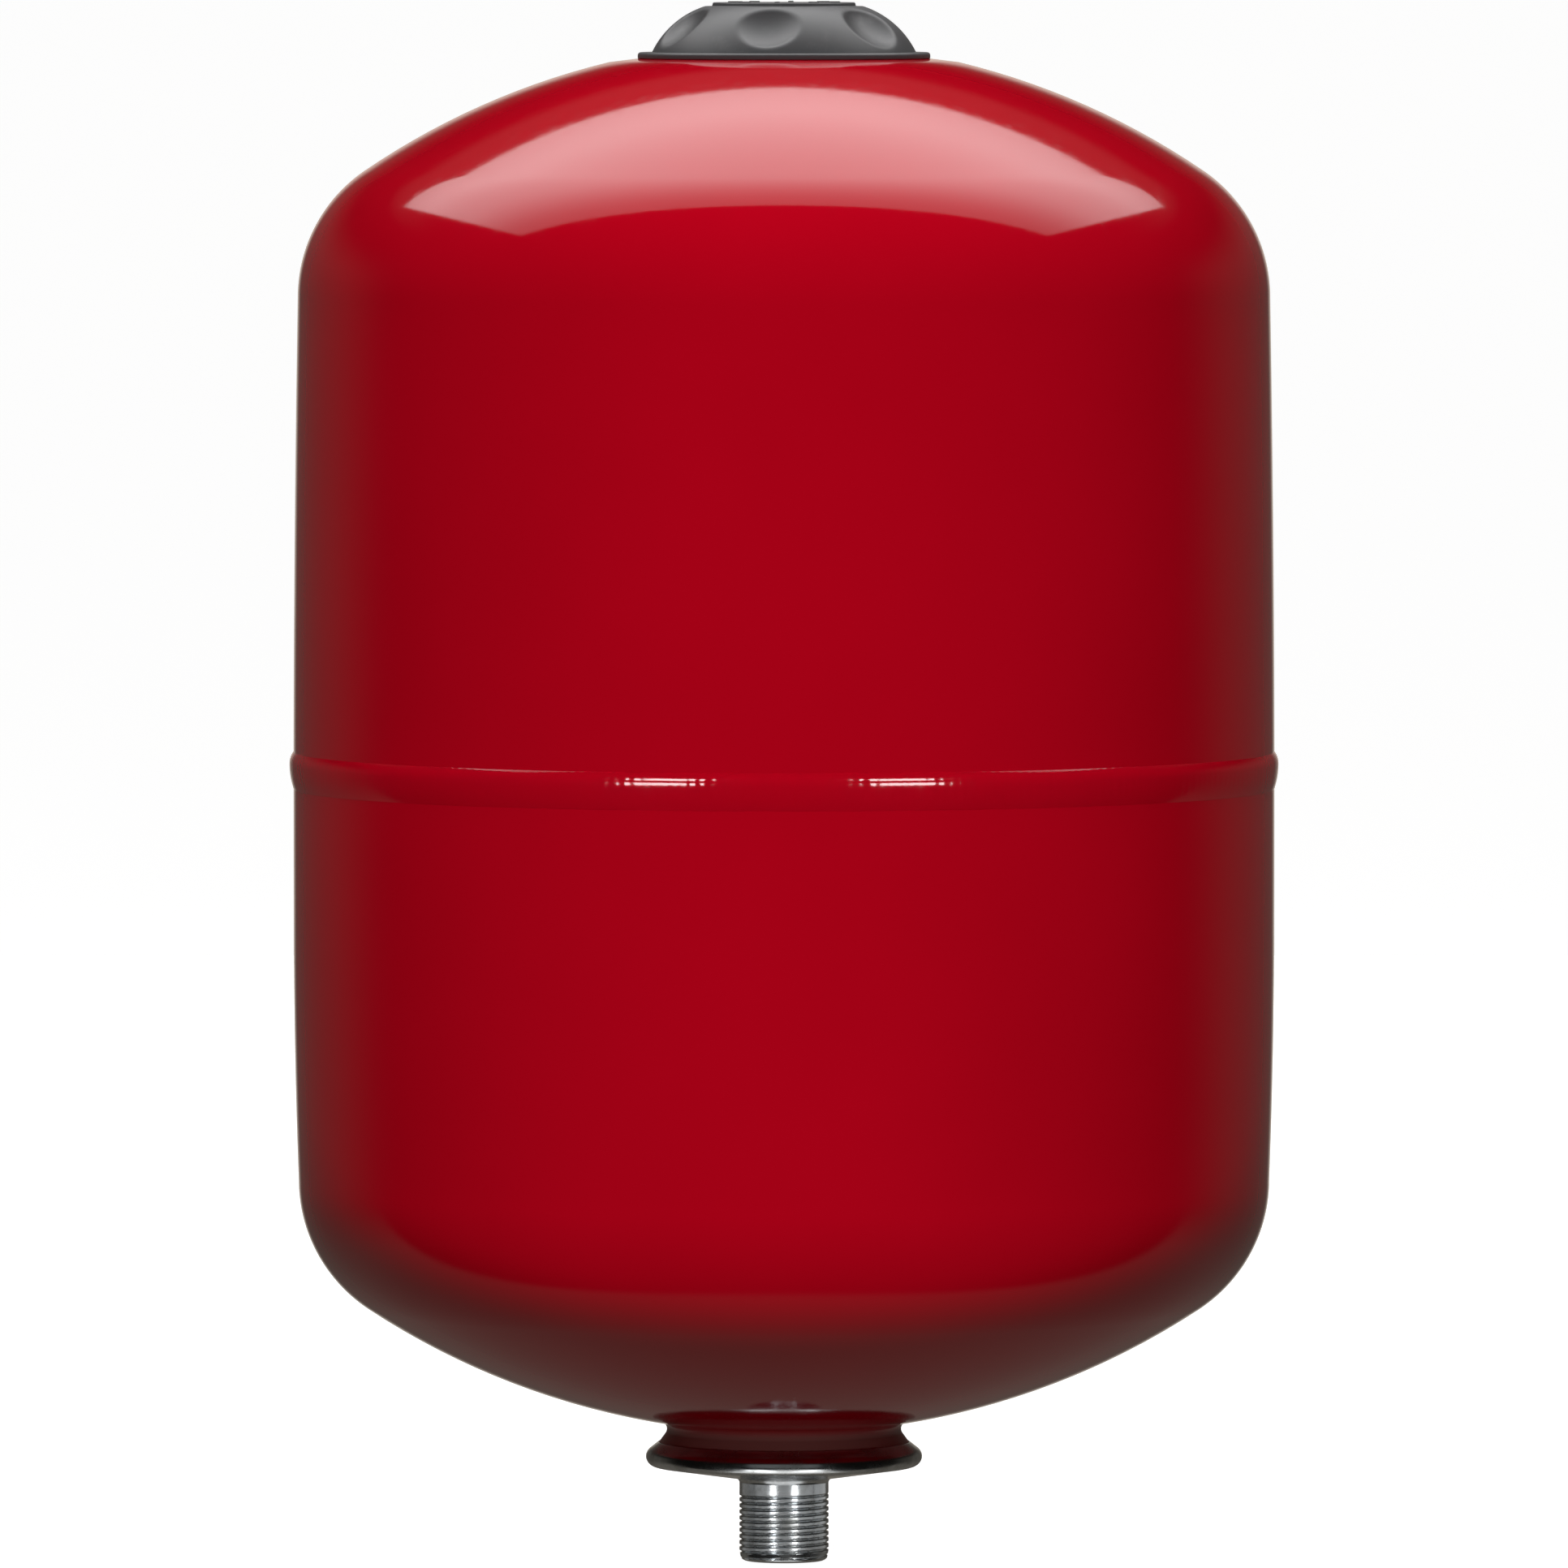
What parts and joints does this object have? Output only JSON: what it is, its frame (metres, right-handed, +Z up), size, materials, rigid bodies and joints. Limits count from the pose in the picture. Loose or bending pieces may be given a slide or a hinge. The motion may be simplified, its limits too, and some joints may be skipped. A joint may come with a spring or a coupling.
{
  "type": "expansion vessel",
  "caption": "Upright cylindrical expansion vessel with domed ends, girth weld, screwed valve cover on top and a threaded pipe nipple on a crimped flange plate below.",
  "frame": {"origin": "centre of the lower end face of the threaded nipple, the lowest point of the part", "axes": "+Z up along the vessel's axis, from the water connection to the valve cover; the front is the -Y side"},
  "size_m": [0.2924, 0.2924, 0.4615],
  "materials": {
    "red_paint": "gloss powder coat",
    "zinc_plate": "bright zinc plated steel",
    "bladder_rubber": "smooth moulded butyl rubber",
    "valve_brass": "machined",
    "seal_rubber": "moulded",
    "seal_polymer": "moulded",
    "spring_steel": "drawn wire",
    "dust_cap_plastic": "moulded, knurled",
    "black_plastic": "satin moulded polypropylene"
  },
  "bodies": {
    "vessel": {"upper_shell": "red_paint", "lower_shell": "red_paint", "girth_weld": "red_paint", "flange_plate": "zinc_plate", "threaded_nipple": "zinc_plate", "nipple_weld": "zinc_plate", "bladder": "bladder_rubber", "valve_stem": "valve_brass", "valve_grommet": "seal_rubber", "valve_washer": "zinc_plate", "valve_nut": "valve_brass", "core_body": "valve_brass", "core_seal": "seal_polymer", "core_spring": "spring_steel", "cover_base": "black_plastic"},
    "cover_lift": {"cover_gasket": "seal_rubber"},
    "cover": {"valve_cover": "black_plastic"},
    "dust_cap_lift": {"dust_cap_seal": "seal_rubber"},
    "dust_cap_body": {"dust_cap": "dust_cap_plastic"},
    "valve_pin": {"core_pin": "valve_brass", "core_poppet_seal": "seal_rubber"}
  },
  "joints": [
    {"name": "cover_rise", "type": "slide", "parent": "vessel", "child": "cover_lift", "axis": [0, 0, 1], "range_m": [0, 0.036]},
    {"name": "cover_turn", "type": "hinge", "parent": "cover_lift", "child": "cover", "pos_m": [0, 0, 0.4446], "axis": [0, 0, 1], "range_deg": [0, 1080]},
    {"name": "dust_cap_rise", "type": "slide", "parent": "vessel", "child": "dust_cap_lift", "axis": [0, 0, 1], "range_m": [0, 0.00794]},
    {"name": "dust_cap_turn", "type": "hinge", "parent": "dust_cap_lift", "child": "dust_cap_body", "pos_m": [0, 0, 0.4475], "axis": [0, 0, 1], "range_deg": [0, 3600]},
    {"name": "valve_pin_press", "type": "slide", "parent": "vessel", "child": "valve_pin", "axis": [0, 0, -1], "range_m": [0, 0.0012], "stiffness_N_per_m": 2000, "springref_m": -0.0015, "deforming": ["core_spring"]}
  ],
  "couplings": [
    {"joint": "cover_rise", "follows": "cover_turn", "m_per_rad": 0.0019098},
    {"joint": "dust_cap_turn", "follows": "dust_cap_rise", "rad_per_m": 7915.8}
  ]
}
